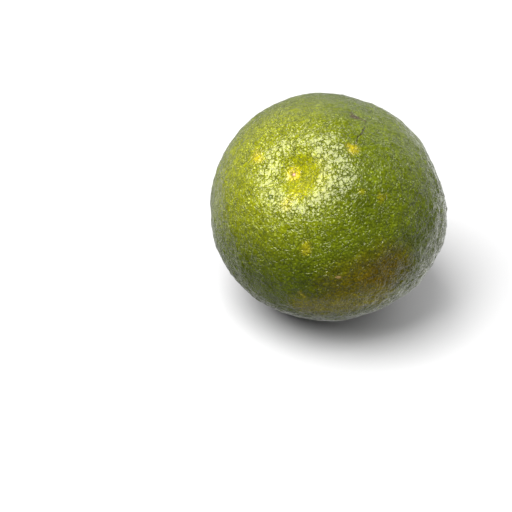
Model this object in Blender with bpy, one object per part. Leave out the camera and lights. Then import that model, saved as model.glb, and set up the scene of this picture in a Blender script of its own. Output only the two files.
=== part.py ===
"""A green-skinned mandarin orange, lying tipped over on the side of its stem end.

The fruit is one solid, and its stem button, the star-shaped calyx with the cut stem on it, is the
other. Every point of the fruit lies at some distance from its centre: surface_distance works it out
for any direction, and both pieces are formed on the surface that it gives.
"""

import math

import bmesh
import bpy
from mathutils import Matrix, Vector, noise

MM = 0.001

# The whole fruit: a spheroid a little squatter than a ball, 68 mm across as it lies.
EQUATOR_RADIUS = 34.3 * MM
POLE_RADIUS = 32.0 * MM

# How it lies. The stylar end, opposite the stem, points up and towards the front left.
STYLAR_TILT = math.radians(39.3)
STYLAR_HEADING = math.radians(232.0)
FLOOR_DEPTH = 31.5 * MM

# The dimples at the two ends: depth, and half width as an angle seen from the centre. The stylar
# end has a steep dimple within a broad hollow.
STYLAR_DIMPLES = ((2.8 * MM, math.radians(25.0)), (2.3 * MM, math.radians(13.0)))
STEM_DIMPLE = (2.6 * MM, math.radians(15.0))

# Broad swellings and flat places, each seen from the centre: heading, elevation, half width, height.
SWELLINGS = (
    (43.0, 40.0, 48.0, -2.3 * MM),
    (264.0, -50.0, 42.0, -1.4 * MM),
    (-3.0, -1.0, 39.0, 0.95 * MM),
    (2.0, 17.0, 15.0, -1.5 * MM),
    (150.0, 20.0, 35.0, 0.15 * MM),
)

# Shallow furrows run out from the stem's dimple, one between each two segments of the flesh.
SEGMENTS = 10
FURROW_DEPTH = 0.45 * MM
FURROW_RING = math.radians(24.0)
FURROW_SPREAD = math.radians(12.0)
FURROW_WANDER = 0.9

# The uneven peel: height and length of its two sizes of unevenness.
PEEL_WAVES = ((0.22 * MM, 15.0 * MM), (0.12 * MM, 6.0 * MM))

# The stem button: five pointed lobes follow the peel, and the cut stem stands on them.
CALYX_RADIUS = 4.6 * MM
CALYX_LOBES = 5
CALYX_LOBE_SHARE = 0.28
CALYX_THICKNESS = 1.0 * MM
CALYX_GAP = 0.3 * MM
STEM_RADIUS = 1.5 * MM
STEM_FLARE = 1.3
STEM_HEIGHT = 2.6 * MM
STEM_BEVEL = 0.25 * MM

FRUIT_DIVISIONS = 26
CALYX_SEGMENTS = 60
CALYX_RINGS = 12
STEM_SIDES = 28

FRUIT_COLOUR = (0.16, 0.21, 0.02, 1.0)
FRUIT_ROUGHNESS = 0.38
BUTTON_COLOUR = (0.20, 0.17, 0.07, 1.0)
BUTTON_ROUGHNESS = 0.7


def direction(heading, elevation):
    """The unit vector at a heading, counter-clockwise from +X, and an elevation above the floor."""
    flat = math.cos(elevation)
    return Vector((flat * math.cos(heading), flat * math.sin(heading), math.sin(elevation)))


STEM_END = -direction(STYLAR_HEADING, math.pi / 2 - STYLAR_TILT)
ACROSS_AXIS = STEM_END.orthogonal().normalized()
THIRD_AXIS = STEM_END.cross(ACROSS_AXIS)


def hump(angle, half_width):
    """1 at angle 0, falling away smoothly over half_width."""
    return math.exp(-((angle / half_width) ** 2))


def furrow_depth(towards, from_stem):
    """Furrows round the stem end, which wander a little and are deepest in a ring round it."""
    around = math.atan2(towards.dot(THIRD_AXIS), towards.dot(ACROSS_AXIS))
    wander = FURROW_WANDER * noise.noise(towards * SEGMENTS / 2)
    crease = math.sin((SEGMENTS * around + wander) / 2) ** 4
    return FURROW_DEPTH * crease * hump(from_stem - FURROW_RING, FURROW_SPREAD)


def surface_distance(towards):
    """How far the peel is from the fruit's centre in the unit direction towards."""
    along = max(-1.0, min(1.0, towards.dot(STEM_END)))
    from_stem = math.acos(along)
    from_stylar = math.pi - from_stem
    reach = 1.0 / math.sqrt((1.0 - along**2) / EQUATOR_RADIUS**2 + along**2 / POLE_RADIUS**2)
    for heading, elevation, half_width, height in SWELLINGS:
        centre = direction(math.radians(heading), math.radians(elevation))
        reach += height * hump(towards.angle(centre), math.radians(half_width))
    for depth, half_width in STYLAR_DIMPLES:
        reach -= depth * hump(from_stylar, half_width)
    reach -= STEM_DIMPLE[0] * hump(from_stem, STEM_DIMPLE[1])
    reach -= furrow_depth(towards, from_stem)
    for height, length in PEEL_WAVES:
        reach += height * noise.noise(towards * (EQUATOR_RADIUS / length))
    return reach


def surface_point(towards):
    """The peel's point in a direction. The underside is pressed flat where it meets the floor."""
    point = towards * surface_distance(towards)
    point.z = max(point.z, -FLOOR_DEPTH)
    return point


def material(name, colour, roughness):
    made = bpy.data.materials.new(name)
    made.use_nodes = True
    shader = made.node_tree.nodes["Principled BSDF"]
    shader.inputs["Base Color"].default_value = colour
    shader.inputs["Roughness"].default_value = roughness
    shader.inputs["Metallic"].default_value = 0.0
    return made


def add_object(name, shape, collection, finish):
    """An object named name from a bmesh, shaded smooth, in the collection."""
    mesh = bpy.data.meshes.new(name)
    shape.to_mesh(mesh)
    shape.free()
    mesh.shade_smooth()
    mesh.materials.append(finish)
    made = bpy.data.objects.new(name, mesh)
    collection.objects.link(made)
    return made


def make_fruit(collection):
    """The fruit: a cube divided into a fine grid, with each point moved out onto the peel."""
    shape = bmesh.new()
    bmesh.ops.create_cube(shape, size=2.0)
    bmesh.ops.subdivide_edges(
        shape, edges=shape.edges[:], cuts=FRUIT_DIVISIONS - 1, use_grid_fill=True
    )
    for vert in shape.verts:
        evenly_spread = Vector([math.tan(side * math.pi / 4) for side in vert.co])
        vert.co = surface_point(evenly_spread.normalized())
    finish = material("green_peel", FRUIT_COLOUR, FRUIT_ROUGHNESS)
    return add_object("fruit", shape, collection, finish)


def calyx_edge(around):
    """The calyx's radius at an angle round the stem: five lobes, more pointed than a sine."""
    wave = 0.5 + 0.5 * math.cos(CALYX_LOBES * around)
    return CALYX_RADIUS * (1.0 - CALYX_LOBE_SHARE * (1.0 - wave**1.5))


def on_stem_end(across, third, height):
    """A point over the stem end: two distances off the stem's axis, and a height above the peel."""
    outward = STEM_END * POLE_RADIUS + ACROSS_AXIS * across + THIRD_AXIS * third
    return surface_point(outward.normalized()) + STEM_END * height


def make_calyx(collection, finish):
    """The calyx: a flattened ball spread into lobes and laid over the dimple, clear of the peel."""
    shape = bmesh.new()
    bmesh.ops.create_uvsphere(
        shape, u_segments=CALYX_SEGMENTS, v_segments=CALYX_RINGS, radius=1.0
    )
    for vert in shape.verts:
        around = math.atan2(vert.co.y, vert.co.x)
        reach = math.hypot(vert.co.x, vert.co.y) * calyx_edge(around)
        height = CALYX_GAP + CALYX_THICKNESS * 0.5 * (1.0 + vert.co.z)
        vert.co = on_stem_end(reach * math.cos(around), reach * math.sin(around), height)
    return add_object("stem_button", shape, collection, finish)


def make_stem(collection, finish):
    """The stem, cut off square. It helps to make the button and is hidden, with its root inside."""
    shape = bmesh.new()
    bmesh.ops.create_cone(
        shape,
        cap_ends=True,
        segments=STEM_SIDES,
        radius1=STEM_RADIUS * STEM_FLARE,
        radius2=STEM_RADIUS,
        depth=STEM_HEIGHT,
    )
    rim = [edge for edge in shape.edges if all(vert.co.z > 0 for vert in edge.verts)]
    bmesh.ops.bevel(shape, geom=rim, offset=STEM_BEVEL, segments=2, affect="EDGES", profile=0.5)
    stem = add_object("cut_stem", shape, collection, finish)
    root = on_stem_end(0.0, 0.0, CALYX_GAP + CALYX_THICKNESS / 2)
    stem.location = root + STEM_END * (STEM_HEIGHT / 2)
    stem.rotation_euler = Matrix((ACROSS_AXIS, THIRD_AXIS, STEM_END)).transposed().to_euler()
    stem.hide_render = True
    stem.display_type = "WIRE"
    return stem


def make_stem_button(parts, helpers):
    """The calyx and the cut stem, joined into one solid."""
    finish = material("stem_button", BUTTON_COLOUR, BUTTON_ROUGHNESS)
    button = make_calyx(parts, finish)
    join = button.modifiers.new("cut_stem", "BOOLEAN")
    join.operation = "UNION"
    join.object = make_stem(helpers, finish)
    return button


def lay_down(fruit, pieces):
    """Brings the middle of the fruit's underside to the world's origin, and the pieces with it."""
    corners = [Vector(corner) for corner in fruit.bound_box]
    low = Vector([min(corner[axis] for corner in corners) for axis in range(3)])
    high = Vector([max(corner[axis] for corner in corners) for axis in range(3)])
    centre = bpy.data.objects.new("fruit_centre", None)
    centre.location = -Vector(((low.x + high.x) / 2, (low.y + high.y) / 2, low.z))
    bpy.context.scene.collection.objects.link(centre)
    for piece in pieces:
        piece.parent = centre


def main():
    for old in list(bpy.data.objects):
        bpy.data.objects.remove(old)
    parts = bpy.data.collections.new("mandarin_orange")
    helpers = bpy.data.collections.new("mandarin_orange_helpers")
    for collection in (parts, helpers):
        bpy.context.scene.collection.children.link(collection)
    fruit = make_fruit(parts)
    make_stem_button(parts, helpers)
    lay_down(fruit, (*parts.objects, *helpers.objects))


main()
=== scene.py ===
"""The looks of a green-skinned mandarin orange, lying on a white table in soft light.

Metres, in the frame of the solids: +X to the camera's right, +Y away from it, +Z up. The fruit's
peel and its stem button are finer pieces that stand for the two solids.
"""

import math

import bmesh
import bpy
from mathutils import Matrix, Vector, noise
from mathutils.bvhtree import BVHTree


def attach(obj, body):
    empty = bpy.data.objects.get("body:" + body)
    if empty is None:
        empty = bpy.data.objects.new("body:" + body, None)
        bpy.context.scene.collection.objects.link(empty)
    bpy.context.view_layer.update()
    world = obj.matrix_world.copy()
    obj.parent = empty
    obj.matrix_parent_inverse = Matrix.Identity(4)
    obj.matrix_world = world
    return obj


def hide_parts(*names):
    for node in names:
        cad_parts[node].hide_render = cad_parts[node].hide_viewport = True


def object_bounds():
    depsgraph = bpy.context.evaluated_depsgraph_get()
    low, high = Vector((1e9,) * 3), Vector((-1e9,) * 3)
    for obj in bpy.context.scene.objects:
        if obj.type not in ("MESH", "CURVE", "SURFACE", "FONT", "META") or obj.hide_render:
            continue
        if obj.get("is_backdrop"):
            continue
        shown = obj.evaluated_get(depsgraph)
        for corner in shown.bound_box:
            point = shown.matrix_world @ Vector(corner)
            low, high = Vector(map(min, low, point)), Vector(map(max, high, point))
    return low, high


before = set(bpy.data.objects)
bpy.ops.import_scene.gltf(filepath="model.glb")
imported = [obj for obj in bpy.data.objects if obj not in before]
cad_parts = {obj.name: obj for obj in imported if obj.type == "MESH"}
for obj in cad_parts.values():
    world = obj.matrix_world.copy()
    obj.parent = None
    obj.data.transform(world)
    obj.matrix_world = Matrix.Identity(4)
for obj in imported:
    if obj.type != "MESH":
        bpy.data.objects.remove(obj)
solid_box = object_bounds()

MM = 0.001
UP = (0.0, 0.0, 1.0)


def colour(red, green, blue):
    """An opaque colour."""
    return (red, green, blue, 1.0)


# The camera: a long lens looking down at the fruit, whose middle is off the picture's centre.
PICTURE_WIDTH = 512
SENSOR_WIDTH = 36.0
LENS = 100.0
CAMERA_ELEVATION = math.radians(38.0)
CAMERA_DISTANCE = 411 * MM
FRUIT_CENTRE = Vector((0.0, 0.0, 31.5 * MM))
FRUIT_CENTRE_PIXEL = (328, 207)

# The lamps: a large soft box above the fruit's left, and two weak fills that don't show in its
# gloss, one in front of its right and one behind it. A direction is the way from the fruit.
KEY_DIRECTION = Vector((-0.375, -0.17, 0.89)).normalized()
KEY_DISTANCE = 1400 * MM
KEY_SIZE = (1070 * MM, 1320 * MM)
KEY_BRIGHTNESS = 30.0
FILL_DIRECTION = Vector((0.40, -0.50, 0.72)).normalized()
FILL_BRIGHTNESS = 6.3
BACK_DIRECTION = Vector((-0.15, 0.85, 0.38)).normalized()
BACK_BRIGHTNESS = 2.2
FILL_DISTANCE = 1500 * MM
FILL_SIZE = (1500 * MM, 1500 * MM)

# The white room, as its brightness in each direction. A range says how far the way to a place
# reaches in the direction that it goes by, from -1 to 1. The walls are dark in front, bright
# behind and brighter in the window, and meet a horizon of one brightness.
ROOM_FRONT = (0.0, -0.788, 0.616)
WALL_RANGE = (-0.55, 0.25)
WALL_BACK = 2.0
WALL_FRONT = 0.08
WINDOW_DIRECTION = Vector((0.74, 0.60, 0.30)).normalized()
WINDOW_RANGE = (0.8, 0.93)
WINDOW_ADDED = 0.6
HORIZON = 0.6
HORIZON_RANGE = (0.08, 0.2)

# Below the horizon the room is darkest in front, and at its back brighter on both sides than
# in the middle.
UNDER_FRONT = Vector((-0.25, -0.75, 0.61)).normalized()
UNDER_FRONT_RANGE = (-0.6, -0.15)
UNDER_DARK = 0.1
UNDER_RIGHT = (1.0, 0.0, 0.0)
UNDER_LEFT = (-1.0, 0.0, 0.35)
UNDER_SIDE_RANGE = (0.1, 0.6)
UNDER_MIDDLE = 0.5
UNDER_SIDE = 1.9
UNDER_RANGE = (-0.25, -0.06)

# The floor: a disc, darker near the fruit, where the lamps light it most.
FLOOR_RADIUS = 1.7
FLOOR_SEGMENTS = 128
FLOOR_GAP = 0.05 * MM
FLOOR_RANGE = (0.25, 1.3)
FLOOR_NEAR = colour(0.178, 0.178, 0.178)
FLOOR_FAR = colour(0.85, 0.85, 0.85)
FLOOR_ROUGHNESS = 0.6

# How the fruit lies: the way out of its stem end.
STYLAR_TILT = math.radians(39.3)
STYLAR_HEADING = math.radians(232.0)
STEM_END = -Vector((
    math.sin(STYLAR_TILT) * math.cos(STYLAR_HEADING),
    math.sin(STYLAR_TILT) * math.sin(STYLAR_HEADING),
    math.cos(STYLAR_TILT),
))
ACROSS_AXIS = STEM_END.orthogonal().normalized()
THIRD_AXIS = STEM_END.cross(ACROSS_AXIS)

# The peel's mesh: a divided cube, moved onto the solid and smoothed by subdivision.
PEEL_DIVISIONS = 32
PEEL_SUBDIVISIONS = 2

# The peel's relief, as height and length of each kind of unevenness. Grain is the finest.
LUMPS = (0.19 * MM, 7.0 * MM)
WRINKLES = (0.11 * MM, 2.1 * MM)
GRAIN = (0.012 * MM, 0.45 * MM)

# Lumps and wrinkles are stronger round a place on the right.
UNEVEN_PLACE = (435, 235)
UNEVEN_RANGE = (18 * MM, 36 * MM)
UNEVEN_SHARE = 0.45

# The oil glands: a shallow hollow over each, with a pit in it. Their cells are warped a little.
GLAND_SPACING = 0.9 * MM
GLAND_DEPTH = 0.05 * MM
PIT_DEPTH = 0.045 * MM
GLAND_RANDOMNESS = 0.85
GLAND_SMOOTHNESS = 0.15
GLAND_RANGE = (0.12, 0.52)
GLAND_WARP_LENGTH = 3.5 * MM
GLAND_WARP = 0.9 * MM

# The creases between the peel's cells, as depth and spacing of each size. They stray by a share
# of their spacing, and show in patches that are a few spacings wide.
CREASES = ((0.13 * MM, 1.7 * MM), (0.09 * MM, 1.0 * MM))
CREASE_WIDTH = 0.14 * MM
CREASE_STRAY = 0.85
CREASE_PATCH = 1.6
CREASE_SHOWN = (0.42, 0.56)

# The share of its relief that the peel has, by the distance from the blossom end: little in the
# dimple, somewhat less than all round it, and more towards the sides.
CALM_PLACE = (308, 175)
CALM_RANGE = (2.0 * MM, 7.0 * MM)
CALM_SHARE = 0.4
SMOOTH_RANGE = (8 * MM, 13 * MM)
SMOOTH_SHARE = 0.8
LUMPY_RANGE = (11 * MM, 22 * MM)
LUMPY_SHARE = 2.3

# Creases are deeper far from the blossom scar.
STYLAR_SCAR = (294, 174.6)
DEEP_RANGE = (16 * MM, 34 * MM)
DEEP_SHARE = 1.2

# A small steep hollow round the blossom scar, a low shoulder on the right of the dimple, and one
# dark pit on the left.
DIP_PLACE = (298, 175)
DIP_RADIUS = 5.5 * MM
DIP_DEPTH = 0.85 * MM
SHOULDER_PLACE = (368, 192)
SHOULDER_RADIUS = 8.5 * MM
SHOULDER_HEIGHT = 0.38 * MM
DARK_PIT = (270.5, 197)
DARK_PIT_RANGE = (0.15 * MM, 0.8 * MM)
DARK_PIT_DEPTH = 0.3 * MM


class Nodes:
    """Writes a node tree, of a material or of geometry nodes, as plain calls."""

    def __init__(self, tree):
        self.tree = tree

    def add(self, kind, inputs=None, **settings):
        node = self.tree.nodes.new(kind)
        for name, value in settings.items():
            setattr(node, name, value)
        for name, value in (inputs or {}).items():
            self.feed(node.inputs[name], value)
        return node

    def feed(self, socket, value):
        if isinstance(value, bpy.types.NodeSocket):
            self.tree.links.new(value, socket)
        else:
            socket.default_value = value

    def math(self, operation, *values, clamp=False):
        inputs = dict(enumerate(values))
        return self.add("ShaderNodeMath", inputs, operation=operation, use_clamp=clamp).outputs[0]

    def vector(self, operation, *values):
        node = self.add("ShaderNodeVectorMath", dict(enumerate(values)), operation=operation)
        scalar = operation in ("DOT_PRODUCT", "DISTANCE", "LENGTH")
        return node.outputs["Value" if scalar else "Vector"]

    def along(self, place, direction):
        """How far the place, or the way, reaches in a direction."""
        return self.vector("DOT_PRODUCT", place, tuple(direction))

    def distance(self, place, centre):
        """How far the place is from a fixed point."""
        return self.vector("DISTANCE", place, tuple(centre))

    def noise(self, place, length, detail=2.0, roughness=0.5):
        """Uneven values round 0.5, with lumps about length apart."""
        inputs = {
            "Vector": place,
            "Scale": 1.0 / length,
            "Detail": detail,
            "Roughness": roughness,
        }
        return self.add("ShaderNodeTexNoise", inputs).outputs[0]

    def stray(self, place, length, reach, detail=1.0):
        """The place moved on unevenly, by up to reach along each axis."""
        inputs = {"Vector": place, "Scale": 1.0 / length, "Detail": detail}
        uneven = self.add("ShaderNodeTexNoise", inputs).outputs["Color"]
        return self.vector("MULTIPLY_ADD", uneven, (reach,) * 3, place)

    def waver(self, place, length, reach, detail):
        """The place moved either way unevenly, by up to half of reach along each axis."""
        strayed = self.stray(place, length, reach, detail)
        return self.vector("SUBTRACT", strayed, (reach / 2,) * 3)

    def ramp(self, value, low, high, to_low=0.0, to_high=1.0, kind="SMOOTHSTEP"):
        """value brought from low..high to to_low..to_high, and held inside it."""
        inputs = {
            "Value": value,
            "From Min": low,
            "From Max": high,
            "To Min": to_low,
            "To Max": to_high,
        }
        return self.add("ShaderNodeMapRange", inputs, interpolation_type=kind).outputs[0]

    def mix(self, share, first, second, blend="MIX"):
        """The colour first, turned into second by share."""
        node = self.add("ShaderNodeMix", data_type="RGBA", blend_type=blend)
        self.feed(node.inputs[0], share)
        self.feed(node.inputs[6], first)
        self.feed(node.inputs[7], second)
        return node.outputs[2]

    def stain(self, first, share, strength, second):
        """The colour first, turned into second by share, and by strength where share is 1."""
        return self.mix(self.math("MULTIPLY", share, strength), first, second)

    def shade(self, first, factor):
        """The colour first, made lighter or darker by a factor."""
        return self.mix(1.0, first, factor, blend="MULTIPLY")

    def bump(self, height, distance=1.0):
        """The surface's normal, as a height in units of distance would tilt it."""
        inputs = {"Height": height, "Distance": distance, "Strength": 1.0}
        return self.add("ShaderNodeBump", inputs).outputs[0]


def new_material(name, roughness):
    """A material with its node writer and its Principled shader."""
    made = bpy.data.materials.new(name)
    made.use_nodes = True
    shader = made.node_tree.nodes["Principled BSDF"]
    shader.inputs["Roughness"].default_value = roughness
    return made, Nodes(made.node_tree), shader


# Camera

def make_camera():
    camera = bpy.data.objects.new("camera", bpy.data.cameras.new("camera"))
    bpy.context.scene.collection.objects.link(camera)
    camera.data.lens = LENS
    camera.data.sensor_width = SENSOR_WIDTH
    camera.rotation_euler = (math.pi / 2 - CAMERA_ELEVATION, 0.0, 0.0)
    bpy.context.view_layer.update()
    camera.location = FRUIT_CENTRE - CAMERA_DISTANCE * pixel_direction(camera, FRUIT_CENTRE_PIXEL)
    bpy.context.scene.camera = camera
    return camera


def pixel_direction(camera, pixel):
    """The way from the camera through a pixel of the picture."""
    focal = PICTURE_WIDTH * LENS / SENSOR_WIDTH
    middle = PICTURE_WIDTH / 2
    seen = Vector((pixel[0] - middle, middle - pixel[1], -focal))
    return (camera.rotation_euler.to_matrix() @ seen).normalized()


camera = make_camera()


# Fruit

def surface_of(mesh):
    """A mesh's faces, as a surface that a ray can be cast on."""
    return BVHTree.FromPolygons(
        [vert.co for vert in mesh.vertices], [tuple(face.vertices) for face in mesh.polygons]
    )


def seen_point(surface, pixel):
    """The surface's point that a pixel of the picture shows."""
    return surface.ray_cast(camera.location, pixel_direction(camera, pixel))[0]


fruit_solid = surface_of(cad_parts["fruit"].data)


def on_fruit(pixel):
    """The point of the fruit's solid that a pixel of the picture shows."""
    return seen_point(fruit_solid, pixel)


def near(nodes, place, centre, inner, outer):
    """1 within inner of centre, falling to 0 at outer."""
    return nodes.ramp(nodes.distance(place, centre), inner, outer, 1.0, 0.0)


def near_line(nodes, place, start, end, inner, outer):
    """1 within inner of the line from start to end, falling to 0 at outer."""
    line = end - start
    from_start = nodes.vector("SUBTRACT", place, tuple(start))
    share = nodes.along(from_start, line / line.length_squared)
    share = nodes.math("ADD", share, 0.0, clamp=True)
    nearest = nodes.vector("MULTIPLY_ADD", share, tuple(line), tuple(start))
    return nodes.ramp(nodes.vector("DISTANCE", place, nearest), inner, outer, 1.0, 0.0)


def gland_pits(nodes, place):
    """1 in the middle of each oil gland and 0 between them. The glands are uneven in size."""
    warped = nodes.stray(place, GLAND_WARP_LENGTH, GLAND_WARP)
    cells = nodes.add(
        "ShaderNodeTexVoronoi",
        {"Vector": warped, "Scale": 1.0 / GLAND_SPACING, "Randomness": GLAND_RANDOMNESS},
        feature="SMOOTH_F1",
    )
    cells.inputs["Smoothness"].default_value = GLAND_SMOOTHNESS
    return nodes.ramp(cells.outputs["Distance"], *GLAND_RANGE, 1.0, 0.0)


def creases(nodes, place, spacing):
    """1 along fine creases between cells of the peel, which come and go, and 0 elsewhere."""
    strayed = nodes.stray(place, spacing, spacing * CREASE_STRAY)
    cells = nodes.add(
        "ShaderNodeTexVoronoi",
        {"Vector": strayed, "Scale": 1.0 / spacing},
        feature="DISTANCE_TO_EDGE",
    )
    line = nodes.ramp(cells.outputs["Distance"], 0.0, CREASE_WIDTH / spacing, 1.0, 0.0, "LINEAR")
    shown = nodes.ramp(nodes.noise(place, spacing * CREASE_PATCH), *CREASE_SHOWN)
    return nodes.math("MULTIPLY", line, shown)


def calm(nodes, place):
    """The share of its relief that the peel has at a place."""
    away = nodes.distance(place, on_fruit(CALM_PLACE))
    share = nodes.ramp(away, *CALM_RANGE, CALM_SHARE, 1.0)
    share = nodes.math("MULTIPLY", share, nodes.ramp(away, *SMOOTH_RANGE, SMOOTH_SHARE, 1.0))
    return nodes.math("MULTIPLY", share, nodes.ramp(away, *LUMPY_RANGE, 1.0, LUMPY_SHARE))


def fine_relief(nodes, place, pits, lines):
    """The height of the peel's finest relief, in metres: creases, pits and grain."""
    height = nodes.math("MULTIPLY", pits, -PIT_DEPTH)
    rise, length = GRAIN
    height = nodes.math("MULTIPLY_ADD", nodes.noise(place, length), rise, height)
    height = nodes.math("MULTIPLY", height, calm(nodes, place))
    from_scar = nodes.distance(place, on_peel(STYLAR_SCAR))
    deep = nodes.ramp(from_scar, *DEEP_RANGE, 1.0, DEEP_SHARE)
    for line, (depth, _) in zip(lines, CREASES):
        height = nodes.math("MULTIPLY_ADD", nodes.math("MULTIPLY", line, deep), -depth, height)
    hole = near(nodes, place, on_peel(DARK_PIT), *DARK_PIT_RANGE)
    return nodes.math("MULTIPLY_ADD", hole, -DARK_PIT_DEPTH, height)


def peel_relief(nodes, place):
    """How far the peel stands out from its smooth form, in metres."""
    height = 0.0
    for rise, length in (LUMPS, WRINKLES):
        wave = nodes.math("SUBTRACT", nodes.noise(place, length, detail=1.0), 0.5)
        height = nodes.math("MULTIPLY_ADD", wave, rise * 2, height)
    uneven = near(nodes, place, on_fruit(UNEVEN_PLACE), *UNEVEN_RANGE)
    more = nodes.math("MULTIPLY_ADD", uneven, UNEVEN_SHARE, 1.0)
    height = nodes.math("MULTIPLY", height, more)
    height = nodes.math("MULTIPLY_ADD", gland_pits(nodes, place), -GLAND_DEPTH, height)
    height = nodes.math("MULTIPLY", height, calm(nodes, place))
    from_dip = nodes.distance(place, on_fruit(DIP_PLACE))
    dip = nodes.ramp(from_dip, 0.0, DIP_RADIUS, 1.0, 0.0, "LINEAR")
    height = nodes.math("MULTIPLY_ADD", dip, -DIP_DEPTH, height)
    shoulder = near(nodes, place, on_fruit(SHOULDER_PLACE), 0.0, SHOULDER_RADIUS)
    return nodes.math("MULTIPLY_ADD", shoulder, SHOULDER_HEIGHT, height)


def relief_modifier(piece):
    """Geometry nodes that move each point of the piece out by peel_relief."""
    tree = bpy.data.node_groups.new("peel_relief", "GeometryNodeTree")
    tree.interface.new_socket("Geometry", in_out="INPUT", socket_type="NodeSocketGeometry")
    tree.interface.new_socket("Geometry", in_out="OUTPUT", socket_type="NodeSocketGeometry")
    nodes = Nodes(tree)
    start = nodes.add("NodeGroupInput")
    place = nodes.add("GeometryNodeInputPosition").outputs[0]
    outward = nodes.add("GeometryNodeInputNormal").outputs[0]
    scale = nodes.add("ShaderNodeVectorMath", {0: outward}, operation="SCALE")
    nodes.feed(scale.inputs["Scale"], peel_relief(nodes, place))
    moved = nodes.add(
        "GeometryNodeSetPosition", {"Geometry": start.outputs[0], "Offset": scale.outputs[0]}
    )
    nodes.add("NodeGroupOutput", {0: moved.outputs[0]})
    piece.modifiers.new("relief", "NODES").node_group = tree


def apply_modifiers(piece):
    graph = bpy.context.evaluated_depsgraph_get()
    mesh = bpy.data.meshes.new_from_object(piece.evaluated_get(graph))
    piece.modifiers.clear()
    piece.data = mesh


def make_peel():
    """The peel: the smooth form of the solid, with lumps, wrinkles and oil glands."""
    shape = bmesh.new()
    bmesh.ops.create_cube(shape, size=2.0)
    bmesh.ops.subdivide_edges(
        shape, edges=shape.edges[:], cuts=PEEL_DIVISIONS - 1, use_grid_fill=True
    )
    for vert in shape.verts:
        outward = Vector([math.tan(side * math.pi / 4) for side in vert.co]).normalized()
        vert.co = fruit_solid.ray_cast(FRUIT_CENTRE, outward)[0]
    mesh = bpy.data.meshes.new("peel")
    shape.to_mesh(mesh)
    shape.free()
    mesh.shade_smooth()
    peel = bpy.data.objects.new("peel", mesh)
    bpy.context.scene.collection.objects.link(peel)
    smooth = peel.modifiers.new("smooth", "SUBSURF")
    smooth.levels = smooth.render_levels = PEEL_SUBDIVISIONS
    relief_modifier(peel)
    bpy.context.view_layer.update()
    apply_modifiers(peel)
    for vert in peel.data.vertices:
        vert.co.z = max(vert.co.z, 0.0)
    return peel


peel = make_peel()
peel_surface = surface_of(peel.data)


def on_peel(pixel):
    """The point of the finished peel that a pixel of the picture shows."""
    return seen_point(peel_surface, pixel)


# The peel's finish, and the rougher cork round the blossom scar.
PEEL_ROUGHNESS = 0.145
PEEL_SPECULAR = 0.195
PEEL_SPECULAR_TINT = colour(1.0, 1.0, 0.7)
PEEL_SHEEN = 0.04
PEEL_SHEEN_ROUGHNESS = 0.2
CORK_ROUGHNESS = 0.6
CORK_RANGE = (0.7 * MM, 1.7 * MM)

# The skin's greens, in broad patches, and a lighter yellow-green on the side of the blossom end that
# faces the soft box: partly the skin's own yellowing there and partly painted light.
DEEP_GREEN = colour(0.023, 0.031, 0.0006)
MID_GREEN = colour(0.037, 0.048, 0.0009)
GREEN_LENGTH = 22 * MM
GREEN_RANGE = (0.35, 0.65)
YELLOWING_AND_PAINTED_LIGHT = colour(0.079, 0.086, 0.0012)
YELLOWING_AND_PAINTED_LIGHT_PLACE = (266, 165)
YELLOWING_AND_PAINTED_LIGHT_RANGE = (4 * MM, 32 * MM)

# Light and dark flecks: the length of their unevenness, its range and the shades that it gives.
MOTTLE_LENGTH = 2.2 * MM
MOTTLE_RANGE = (0.3, 0.7)
MOTTLE_SHADES = (0.82, 1.18)
SPECKLE_LENGTH = 0.45 * MM
SPECKLE_RANGE = (0.36, 0.64)
SPECKLE_SHADES = (0.68, 1.20)
PIT_SHADES = (0.85, 1.20)
# Painted shade: a darker green laid along the peel's creases, by this strength.
PAINTED_CREASE_SHADE = colour(0.015, 0.022, 0.0008)
PAINTED_CREASE_SHADE_STRENGTH = 0.45

# The broad marks, with places as pixels of the picture. Their edges waver.
PATCH_WAVER_LENGTH = 4 * MM
PATCH_WAVER = 5 * MM
BROWN = colour(0.048, 0.031, 0.0007)
BROWN_CORE = 0.2
BROWN_PATCHES = (
    ((384, 273), 13 * MM, 0.8),
    ((350, 290), 14 * MM, 0.6),
)
PALE_BROWN = colour(0.090, 0.078, 0.0030)
PALE_START = (306, 307)
PALE_END = (374, 299)
PALE_RANGE = (1 * MM, 8 * MM)
PALE_STRENGTH = 0.9
GOLDEN = colour(0.118, 0.116, 0.0013)
GOLDEN_PLACE = (308, 178)
GOLDEN_RANGE = (2 * MM, 10 * MM)
GOLDEN_STRENGTH = 0.55

# The yellow spots, each with its pixel, radius and strength, and the halo of the blossom scar.
YELLOW = colour(0.189, 0.151, 0.0038)
SPOT_CORE = 0.3
SPOT_EDGE = 2.0
YELLOW_SPOTS = (
    ((257, 156), 1.6 * MM, 0.6),
    ((352.6, 148), 1.3 * MM, 0.7),
    ((305, 247), 1.4 * MM, 0.35),
    ((302, 294), 0.8 * MM, 0.45),
    ((381.6, 196), 1.0 * MM, 0.25),
    ((362.5, 190), 0.9 * MM, 0.2),
    ((297, 193), 2.0 * MM, 0.15),
    ((287, 203), 1.8 * MM, 0.35),
)
HALO_YELLOW = colour(0.189, 0.151, 0.0008)
HALO_RANGE = (0.6 * MM, 3.0 * MM)
HALO_STRENGTH = 0.9

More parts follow.
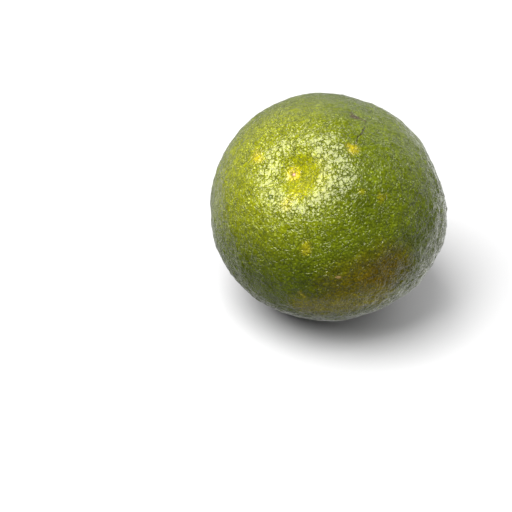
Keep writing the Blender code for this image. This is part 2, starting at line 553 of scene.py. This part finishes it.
# The scratches, the light nick and the dark pit, each as a line between two pixels, with its
# radius, strength and colour. Their edges shake.
SCAR_SHAKE_LENGTH = 1.2 * MM
SCAR_SHAKE = 1.2 * MM
SCAR_CORE = 0.5
SCAR_EDGE = 1.3
GREY_BROWN = colour(0.017, 0.011, 0.006)
DARK_BROWN = colour(0.010, 0.010, 0.003)
LIGHT_BROWN = colour(0.158, 0.098, 0.038)
DARK_GREEN = colour(0.019, 0.027, 0.0008)
SCARS = (
    ((352.5, 116), (357, 118), 0.9 * MM, 0.85, GREY_BROWN),
    ((351, 113), (357, 118), 0.35 * MM, 0.8, GREY_BROWN),
    ((357, 117), (365, 121), 0.35 * MM, 0.85, GREY_BROWN),
    ((364.5, 127), (362, 133), 0.26 * MM, 1.0, DARK_BROWN),
    ((362, 133), (357, 138), 0.3 * MM, 1.0, DARK_BROWN),
    ((357, 138), (356, 144), 0.26 * MM, 0.9, DARK_BROWN),
    ((338, 277), (339.5, 277), 0.5 * MM, 0.6, LIGHT_BROWN),
    ((270, 197), (271, 197), 0.75 * MM, 0.85, DARK_GREEN),
)

# The blossom scar: a brown ring round a pale middle.
RING_BROWN = colour(0.120, 0.055, 0.030)
RING_RANGE = (0.42 * MM, 0.6 * MM)
SCAR_PALE = colour(0.300, 0.203, 0.150)
SCAR_PALE_RANGE = (0.18 * MM, 0.32 * MM)


def ground_colour(nodes, place):
    """The skin's two greens, which turn yellow-green on the side of the blossom end: partly its own
    yellowing, partly painted light where the soft box falls.
    """
    broad = nodes.noise(place, GREEN_LENGTH, detail=3.0, roughness=0.55)
    skin = nodes.mix(nodes.ramp(broad, *GREEN_RANGE), DEEP_GREEN, MID_GREEN)
    # Painted light: the side of the blossom end that faces the soft box is made lighter, together
    # with the skin's own yellowing there.
    yellowing_and_painted_light = near(nodes, place, on_peel(YELLOWING_AND_PAINTED_LIGHT_PLACE), *YELLOWING_AND_PAINTED_LIGHT_RANGE)
    return nodes.mix(yellowing_and_painted_light, skin, YELLOWING_AND_PAINTED_LIGHT)


def add_patches(nodes, place, skin):
    """The skin with its brown underside, pale band, golden place and yellow spots."""
    wavering = nodes.waver(place, PATCH_WAVER_LENGTH, PATCH_WAVER, detail=3.0)
    for pixel, radius, strength in BROWN_PATCHES:
        brown = near(nodes, wavering, on_peel(pixel), radius * BROWN_CORE, radius)
        skin = nodes.stain(skin, brown, strength, BROWN)
    pale = near_line(nodes, wavering, on_peel(PALE_START), on_peel(PALE_END), *PALE_RANGE)
    skin = nodes.stain(skin, pale, PALE_STRENGTH, PALE_BROWN)
    golden = near(nodes, wavering, on_peel(GOLDEN_PLACE), *GOLDEN_RANGE)
    skin = nodes.stain(skin, golden, GOLDEN_STRENGTH, GOLDEN)
    for pixel, radius, strength in YELLOW_SPOTS:
        spot = near(nodes, wavering, on_peel(pixel), radius * SPOT_CORE, radius * SPOT_EDGE)
        skin = nodes.stain(skin, spot, strength, YELLOW)
    halo = near(nodes, place, on_peel(STYLAR_SCAR), *HALO_RANGE)
    return nodes.stain(skin, halo, HALO_STRENGTH, HALO_YELLOW)


def add_flecks(nodes, place, skin, pits, lines):
    """The skin with light and dark flecks, paler glands, and painted shade darkening the creases."""
    mottle = nodes.noise(place, MOTTLE_LENGTH, detail=4.0, roughness=0.65)
    skin = nodes.shade(skin, nodes.ramp(mottle, *MOTTLE_RANGE, *MOTTLE_SHADES))
    speckle = nodes.noise(place, SPECKLE_LENGTH, detail=1.0)
    skin = nodes.shade(skin, nodes.ramp(speckle, *SPECKLE_RANGE, *SPECKLE_SHADES))
    skin = nodes.shade(skin, nodes.ramp(pits, 0.0, 1.0, *PIT_SHADES))
    # Painted shade along the creases between the peel's cells.
    for line in lines:
        skin = nodes.stain(skin, line, PAINTED_CREASE_SHADE_STRENGTH, PAINTED_CREASE_SHADE)
    return skin


def add_scars(nodes, place, skin):
    """The skin with its scratches, nick and dark pit, and with the blossom scar."""
    shaken = nodes.waver(place, SCAR_SHAKE_LENGTH, SCAR_SHAKE, detail=2.0)
    for start, end, radius, strength, tint in SCARS:
        limits = (radius * SCAR_CORE, radius * SCAR_EDGE)
        mark = near_line(nodes, shaken, on_peel(start), on_peel(end), *limits)
        skin = nodes.stain(skin, mark, strength, tint)
    ring = near(nodes, place, on_peel(STYLAR_SCAR), *RING_RANGE)
    skin = nodes.mix(ring, skin, RING_BROWN)
    middle = near(nodes, place, on_peel(STYLAR_SCAR), *SCAR_PALE_RANGE)
    return nodes.mix(middle, skin, SCAR_PALE)


def peel_material():
    made, nodes, shader = new_material("peel", PEEL_ROUGHNESS)
    place = nodes.add("ShaderNodeTexCoord").outputs["Object"]
    pits = gland_pits(nodes, place)
    lines = [creases(nodes, place, spacing) for _, spacing in CREASES]

    skin = ground_colour(nodes, place)
    skin = add_patches(nodes, place, skin)
    skin = add_flecks(nodes, place, skin, pits, lines)
    skin = add_scars(nodes, place, skin)
    nodes.feed(shader.inputs["Base Color"], skin)

    cork = near(nodes, place, on_peel(STYLAR_SCAR), *CORK_RANGE)
    roughness = nodes.ramp(cork, 0.0, 1.0, PEEL_ROUGHNESS, CORK_ROUGHNESS)
    nodes.feed(shader.inputs["Roughness"], roughness)
    nodes.feed(shader.inputs["Normal"], nodes.bump(fine_relief(nodes, place, pits, lines)))
    shader.inputs["Specular IOR Level"].default_value = PEEL_SPECULAR
    shader.inputs["Specular Tint"].default_value = PEEL_SPECULAR_TINT
    shader.inputs["Sheen Weight"].default_value = PEEL_SHEEN
    shader.inputs["Sheen Roughness"].default_value = PEEL_SHEEN_ROUGHNESS
    return made


peel.data.materials.clear()
peel.data.materials.append(peel_material())
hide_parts("fruit")
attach(peel, "root")


# Stem button

# As the solid has it: where its axis starts, and the sizes of the calyx and the cut stem.
SHAPE_CENTRE = Vector((-0.04 * MM, 0.05 * MM, 31.5 * MM))
STEM_DISTANCE = 32.0 * MM
CALYX_RADIUS = 4.6 * MM
CALYX_LOBES = 5
CALYX_LOBE_SHARE = 0.28
CALYX_TOP = 1.15 * MM
STEM_RADIUS = 1.5 * MM
STEM_FOOT = 2.0 * MM
STEM_TOP = 3.4 * MM
CUT_RADIUS = 1.3 * MM
ROOT_DEPTH = 0.5 * MM

# The mesh: columns round the stem's axis, each with its rings.
BUTTON_SEGMENTS = 180
CUT_RINGS = 10
SIDE_RINGS = 16
LOBE_RINGS = 26
EDGE_RINGS = 6

# The cut face: its edge is below the stem's top, it swells a little, and its pith is sunk.
CUT_EDGE_DROP = 0.1 * MM
CUT_MIDDLE_DROP = 0.22 * MM
CUT_SWELL = 0.07 * MM
PITH_DEPTH = 0.16 * MM
PITH_SHARE = 0.22

# The bark: its top, and the ridges that turn round the stem.
BARK_TOP = STEM_TOP - 0.3 * MM
BARK_DEPTH = 0.05 * MM
BARK_RIDGES = 9
BARK_TWIST = 2

# The lobes: they slope down and curl up at the tips, with a ridge along each and a ragged edge
# that bulges and tucks in.
LOBE_SLOPE = 0.45 * MM
LOBE_CURL = 0.25 * MM
LOBE_RIDGE = 0.14 * MM
RAGGED_SHARE = 0.06
RAGGED_SCALE = 3.5
EDGE_BULGE = 0.12 * MM
EDGE_TUCK = 0.3 * MM

# The dry surface of it all, as height and length of each kind of unevenness.
DRY_RELIEF = ((0.10 * MM, 0.9 * MM), (0.05 * MM, 0.35 * MM))


def on_stem_end(around, reach, height):
    """The point at an angle and a distance off the stem's axis, and at a height above the peel."""
    off_axis = (ACROSS_AXIS * math.cos(around) + THIRD_AXIS * math.sin(around)) * reach
    outward = (STEM_END * STEM_DISTANCE + off_axis).normalized()
    below = fruit_solid.ray_cast(SHAPE_CENTRE, outward)[0]
    root = fruit_solid.ray_cast(SHAPE_CENTRE, STEM_END)[0]
    follow = min(1.0, max(0.0, (reach - STEM_RADIUS) / STEM_FOOT))
    return (root + off_axis).lerp(below, follow) + STEM_END * height


def calyx_edge(around):
    """The calyx's reach at an angle: five uneven lobes, more pointed than a sine."""
    wave = 0.5 + 0.5 * math.cos(CALYX_LOBES * around)
    ragged = noise.noise(Vector((math.cos(around), math.sin(around), 0.0)) * RAGGED_SCALE)
    return CALYX_RADIUS * (1.0 - CALYX_LOBE_SHARE * (1.0 - wave**1.5) + RAGGED_SHARE * ragged)


def cut_profile():
    """The cut face from its middle outwards, as reach and height."""
    for ring in range(1, CUT_RINGS + 1):
        share = ring / CUT_RINGS
        pith = -PITH_DEPTH * math.exp(-((share / PITH_SHARE) ** 2))
        swell = CUT_SWELL * math.sin(math.pi * share) + pith
        yield CUT_RADIUS * share, STEM_TOP - CUT_EDGE_DROP + swell


def bark_profile(around):
    """The stem's side at an angle, from its top down to the calyx."""
    for ring in range(1, SIDE_RINGS + 1):
        share = ring / SIDE_RINGS
        reach = STEM_RADIUS + (STEM_FOOT - STEM_RADIUS) * share**3
        ridge = BARK_DEPTH * math.sin(BARK_RIDGES * around + BARK_TWIST * share)
        yield reach + ridge, BARK_TOP - (BARK_TOP - CALYX_TOP) * share


def lobe_profile(around):
    """The calyx's upper side at an angle, from the stem out to the edge."""
    edge = calyx_edge(around)
    lobe = 0.5 + 0.5 * math.cos(CALYX_LOBES * around)
    for ring in range(1, LOBE_RINGS + 1):
        share = ring / LOBE_RINGS
        slope = CALYX_TOP - LOBE_SLOPE * share + LOBE_CURL * lobe * share**4
        ridge = LOBE_RIDGE * lobe**4 * math.sin(math.pi * share)
        yield STEM_FOOT + (edge - STEM_FOOT) * share, slope + ridge


def edge_profile(reach, height):
    """The calyx's edge, from its upper side at a reach and height down into the peel."""
    for ring in range(1, EDGE_RINGS + 1):
        turn = math.pi / 2 * ring / EDGE_RINGS
        bulge = EDGE_BULGE * math.sin(2 * turn)
        tuck = EDGE_TUCK * (1 - math.cos(turn))
        yield reach + bulge - tuck, height * (1 - math.sin(turn))
    yield reach - EDGE_TUCK, -ROOT_DEPTH


def button_profile(around):
    """The button's outline at an angle, from the middle of the cut outwards, as reach and height."""
    profile = [*cut_profile(), *bark_profile(around), *lobe_profile(around)]
    return [*profile, *edge_profile(*profile[-1])]


def make_button():
    """The stem button: a calyx of five dry lobes on the peel, and the stem cut off above it."""
    shape = bmesh.new()
    middle = shape.verts.new(on_stem_end(0.0, 0.0, STEM_TOP - CUT_MIDDLE_DROP))
    columns = []
    for step in range(BUTTON_SEGMENTS):
        around = 2 * math.pi * step / BUTTON_SEGMENTS
        column = []
        for reach, height in button_profile(around):
            place = on_stem_end(around, reach, height)
            dry = sum(rise * noise.noise(place / length) for rise, length in DRY_RELIEF)
            column.append(shape.verts.new(place + STEM_END * dry))
        columns.append(column)
    bottom = shape.verts.new(on_stem_end(0.0, 0.0, -ROOT_DEPTH))
    for column, beside in zip(columns, columns[1:] + columns[:1]):
        shape.faces.new((middle, column[0], beside[0]))
        for ring in range(len(column) - 1):
            shape.faces.new((column[ring], column[ring + 1], beside[ring + 1], beside[ring]))
        shape.faces.new((column[-1], bottom, beside[-1]))
    bmesh.ops.recalc_face_normals(shape, faces=shape.faces[:])
    mesh = bpy.data.meshes.new("stem_button_detail")
    shape.to_mesh(mesh)
    shape.free()
    mesh.shade_smooth()
    made = bpy.data.objects.new("stem_button_detail", mesh)
    bpy.context.scene.collection.objects.link(made)
    return made


# The button's colours, each pair blotched, and where they lie by height above the peel or by
# distance off the stem's axis.
BUTTON_ROUGHNESS = 0.72
BLOTCH_LENGTH = 1.2 * MM
BLOTCH_RANGE = (0.35, 0.65)
CALYX_GREEN = colour(0.10, 0.105, 0.025)
CALYX_TAN = colour(0.19, 0.155, 0.055)
DRY_TIP = colour(0.15, 0.095, 0.045)
DRY_TIP_RANGE = (2.6 * MM, 4.6 * MM)
DRY_TIP_STRENGTH = 0.7
BARK_DARK = colour(0.12, 0.085, 0.045)
BARK_LIGHT = colour(0.25, 0.20, 0.12)
BARK_RANGE = (1.2 * MM, 1.9 * MM)

# The cut face: growth rings in the wood, a dark pith and a brown rind.
WOOD_DARK = colour(0.34, 0.25, 0.13)
WOOD_LIGHT = colour(0.46, 0.36, 0.20)
WOOD_RING = 0.28 * MM
PITH = colour(0.10, 0.06, 0.03)
PITH_RANGE = (0.25 * MM, 0.45 * MM)
RIND = colour(0.16, 0.12, 0.05)
RIND_RANGE = (1.15 * MM, 1.35 * MM)
CUT_RANGE = (3.05 * MM, 3.2 * MM)

# Fine fibres, as shade and as bump.
FIBRE_LENGTH = 0.3 * MM
FIBRE_RANGE = (0.3, 0.7)
FIBRE_SHADES = (0.75, 1.25)
FIBRE_HEIGHT = 0.05 * MM


def wood_colour(nodes, reach):
    """The cut face's colour at a distance off the stem's axis."""
    rings = nodes.math("SINE", nodes.math("MULTIPLY", reach, 2 * math.pi / WOOD_RING))
    wood = nodes.mix(nodes.ramp(rings, -1.0, 1.0), WOOD_DARK, WOOD_LIGHT)
    wood = nodes.mix(nodes.ramp(reach, *PITH_RANGE, 1.0, 0.0), wood, PITH)
    return nodes.mix(nodes.ramp(reach, *RIND_RANGE), wood, RIND)


def button_material():
    """Dry calyx and bark, and the stem's cut face: pale wood round a dark pith."""
    made, nodes, shader = new_material("stem_button", BUTTON_ROUGHNESS)
    place = nodes.add("ShaderNodeTexCoord").outputs["Object"]
    root = on_stem_end(0.0, 0.0, 0.0)
    above = nodes.vector("SUBTRACT", place, tuple(root))
    height = nodes.along(above, STEM_END)
    square = nodes.vector("DOT_PRODUCT", above, above)
    square = nodes.math("SUBTRACT", square, nodes.math("MULTIPLY", height, height))
    reach = nodes.math("SQRT", square)

    blotch = nodes.noise(place, BLOTCH_LENGTH, detail=3.0, roughness=0.6)
    blotch = nodes.ramp(blotch, *BLOTCH_RANGE)
    fibre = nodes.noise(place, FIBRE_LENGTH)
    calyx = nodes.mix(blotch, CALYX_GREEN, CALYX_TAN)
    calyx = nodes.stain(calyx, nodes.ramp(reach, *DRY_TIP_RANGE), DRY_TIP_STRENGTH, DRY_TIP)
    bark = nodes.mix(blotch, BARK_DARK, BARK_LIGHT)
    skin = nodes.mix(nodes.ramp(height, *BARK_RANGE), calyx, bark)
    skin = nodes.mix(nodes.ramp(height, *CUT_RANGE), skin, wood_colour(nodes, reach))
    skin = nodes.shade(skin, nodes.ramp(fibre, *FIBRE_RANGE, *FIBRE_SHADES))
    nodes.feed(shader.inputs["Base Color"], skin)
    nodes.feed(shader.inputs["Normal"], nodes.bump(fibre, FIBRE_HEIGHT))
    return made


button = make_button()
button.data.materials.append(button_material())
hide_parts("stem_button")
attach(button, "root")


# Floor and light

def make_floor():
    """The pale floor. It doesn't show in the fruit's gloss."""
    shape = bmesh.new()
    bmesh.ops.create_circle(shape, cap_ends=True, segments=FLOOR_SEGMENTS, radius=FLOOR_RADIUS)
    mesh = bpy.data.meshes.new("floor")
    shape.to_mesh(mesh)
    shape.free()
    made = bpy.data.objects.new("floor", mesh)
    made.location.z = -FLOOR_GAP
    bpy.context.scene.collection.objects.link(made)
    finish, nodes, shader = new_material("floor", FLOOR_ROUGHNESS)
    place = nodes.add("ShaderNodeTexCoord").outputs["Object"]
    tone = nodes.ramp(nodes.vector("LENGTH", place), *FLOOR_RANGE)
    nodes.feed(shader.inputs["Base Color"], nodes.mix(tone, FLOOR_NEAR, FLOOR_FAR))
    mesh.materials.append(finish)
    made.visible_glossy = False
    made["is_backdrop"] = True


def soft_box(name, direction, distance, size, brightness):
    """A rectangular lamp that faces the fruit. Its brightness is in watts per area and angle."""
    lamp = bpy.data.lights.new(name, "AREA")
    lamp.shape = "RECTANGLE"
    lamp.size, lamp.size_y = size
    lamp.energy = brightness * math.pi * size[0] * size[1]
    made = bpy.data.objects.new(name, lamp)
    made.location = FRUIT_CENTRE + direction * distance
    made.rotation_euler = direction.to_track_quat("Z", "Y").to_euler()
    bpy.context.scene.collection.objects.link(made)
    return made


def make_lamps():
    soft_box("soft_box", KEY_DIRECTION, KEY_DISTANCE, KEY_SIZE, KEY_BRIGHTNESS)
    fills = (
        ("fill", FILL_DIRECTION, FILL_BRIGHTNESS),
        ("back_fill", BACK_DIRECTION, BACK_BRIGHTNESS),
    )
    for name, direction, brightness in fills:
        fill = soft_box(name, direction, FILL_DISTANCE, FILL_SIZE, brightness)
        fill.visible_glossy = False


def room_brightness(nodes, way):
    """The room's brightness above the horizon, for a way out from the fruit."""
    wall = nodes.ramp(nodes.along(way, ROOM_FRONT), *WALL_RANGE, WALL_BACK, WALL_FRONT)
    window = nodes.ramp(nodes.along(way, WINDOW_DIRECTION), *WINDOW_RANGE)
    wall = nodes.math("MULTIPLY_ADD", window, WINDOW_ADDED, wall)
    above = nodes.ramp(nodes.along(way, UP), *HORIZON_RANGE)
    return nodes.math("MULTIPLY_ADD", above, nodes.math("SUBTRACT", wall, HORIZON), HORIZON)


def under_brightness(nodes, way):
    """The room's brightness below the horizon, for a way out from the fruit."""
    back = nodes.ramp(nodes.along(way, UNDER_FRONT), *UNDER_FRONT_RANGE, 1.0, 0.0)
    right = nodes.along(way, UNDER_RIGHT)
    side = nodes.math("MAXIMUM", right, nodes.along(way, UNDER_LEFT))
    side = nodes.ramp(side, *UNDER_SIDE_RANGE, UNDER_MIDDLE, UNDER_SIDE)
    return nodes.math("MULTIPLY_ADD", back, side, UNDER_DARK)


def make_room():
    """The white room, as a background that is brighter in some directions than in others."""
    world = bpy.data.worlds.new("white_room")
    world.use_nodes = True
    nodes = Nodes(world.node_tree)
    way = nodes.add("ShaderNodeTexCoord").outputs["Generated"]
    room = room_brightness(nodes, way)
    under = under_brightness(nodes, way)
    level = nodes.ramp(nodes.along(way, UP), *UNDER_RANGE)
    bright = nodes.math("MULTIPLY_ADD", level, nodes.math("SUBTRACT", room, under), under)
    background = world.node_tree.nodes["Background"]
    background.inputs["Color"].default_value = colour(1.0, 1.0, 1.0)
    nodes.feed(background.inputs["Strength"], bright)
    bpy.context.scene.world = world
    bpy.context.scene.view_settings.view_transform = "Standard"


make_floor()
make_lamps()
make_room()

sizes = {"solids": solid_box, "looks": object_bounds()}
{name: [list(corner) for corner in box] for name, box in sizes.items()}
